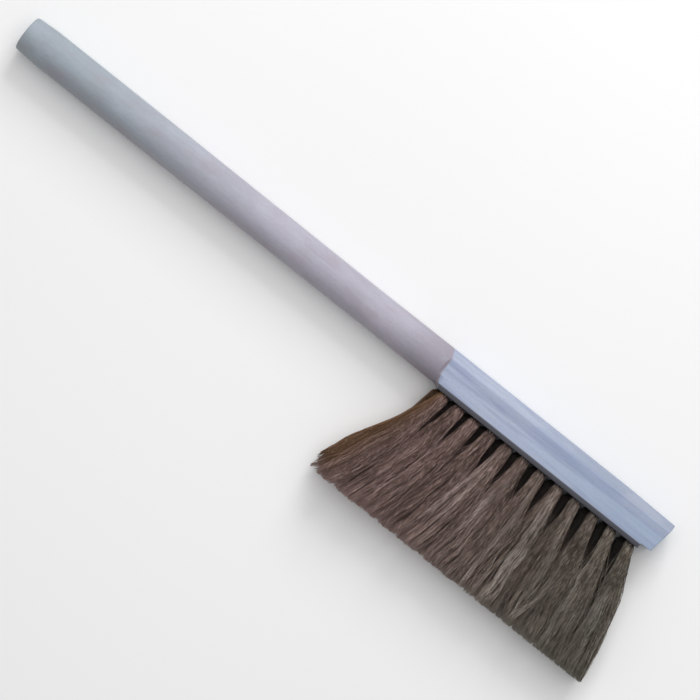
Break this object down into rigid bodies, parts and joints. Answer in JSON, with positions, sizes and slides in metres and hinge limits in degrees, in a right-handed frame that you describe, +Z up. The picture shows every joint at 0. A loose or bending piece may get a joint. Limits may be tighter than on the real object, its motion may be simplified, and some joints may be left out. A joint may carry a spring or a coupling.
{
  "type": "bee brush",
  "caption": "Long one-piece wooden brush with a round handle, a flat-sided head and a fan of soft horsehair tufts, for sweeping bees gently off a comb",
  "frame": {"origin": "middle of the brush's outline, on the surface that it lies on", "axes": "+X along the handle from its end to the head's tip, -Y the way the hair points, +Z up out of the surface, square to the head's side flats"},
  "size_m": [0.4098, 0.0904, 0.02],
  "materials": {
    "wood": "matte",
    "horsehair": "matte",
    "anchor_wire": "satin"
  },
  "bodies": {
    "stock": {"handle_stock": "wood", "front_anchor_01": "anchor_wire", "front_anchor_02": "anchor_wire", "front_anchor_03": "anchor_wire", "front_anchor_04": "anchor_wire", "front_anchor_05": "anchor_wire", "front_anchor_06": "anchor_wire", "front_anchor_07": "anchor_wire", "front_anchor_08": "anchor_wire", "front_anchor_09": "anchor_wire", "front_anchor_10": "anchor_wire", "front_anchor_11": "anchor_wire", "front_anchor_12": "anchor_wire", "rear_anchor_01": "anchor_wire", "rear_anchor_02": "anchor_wire", "rear_anchor_03": "anchor_wire", "rear_anchor_04": "anchor_wire", "rear_anchor_05": "anchor_wire", "rear_anchor_06": "anchor_wire", "rear_anchor_07": "anchor_wire", "rear_anchor_08": "anchor_wire", "rear_anchor_09": "anchor_wire", "rear_anchor_10": "anchor_wire", "rear_anchor_11": "anchor_wire", "rear_anchor_12": "anchor_wire"},
    "bristles": {"front_tuft_01": "horsehair", "front_tuft_02": "horsehair", "front_tuft_03": "horsehair", "front_tuft_04": "horsehair", "front_tuft_05": "horsehair", "front_tuft_06": "horsehair", "front_tuft_07": "horsehair", "front_tuft_08": "horsehair", "front_tuft_09": "horsehair", "front_tuft_10": "horsehair", "front_tuft_11": "horsehair", "front_tuft_12": "horsehair", "rear_tuft_01": "horsehair", "rear_tuft_02": "horsehair", "rear_tuft_03": "horsehair", "rear_tuft_04": "horsehair", "rear_tuft_05": "horsehair", "rear_tuft_06": "horsehair", "rear_tuft_07": "horsehair", "rear_tuft_08": "horsehair", "rear_tuft_09": "horsehair", "rear_tuft_10": "horsehair", "rear_tuft_11": "horsehair", "rear_tuft_12": "horsehair"}
  },
  "joints": [
    {"name": "bristle_flex", "type": "hinge", "parent": "stock", "child": "bristles", "pos_m": [0.127, 0.0243, 0.01], "axis": [1, 0, 0], "range_deg": [-25, 25], "stiffness_Nm_per_rad": 0.2, "deforming": ["front_tuft_01", "front_tuft_02", "front_tuft_03", "front_tuft_04", "front_tuft_05", "front_tuft_06", "front_tuft_07", "front_tuft_08", "front_tuft_09", "front_tuft_10", "front_tuft_11", "front_tuft_12", "rear_tuft_01", "rear_tuft_02", "rear_tuft_03", "rear_tuft_04", "rear_tuft_05", "rear_tuft_06", "rear_tuft_07", "rear_tuft_08", "rear_tuft_09", "rear_tuft_10", "rear_tuft_11", "rear_tuft_12"]}
  ]
}
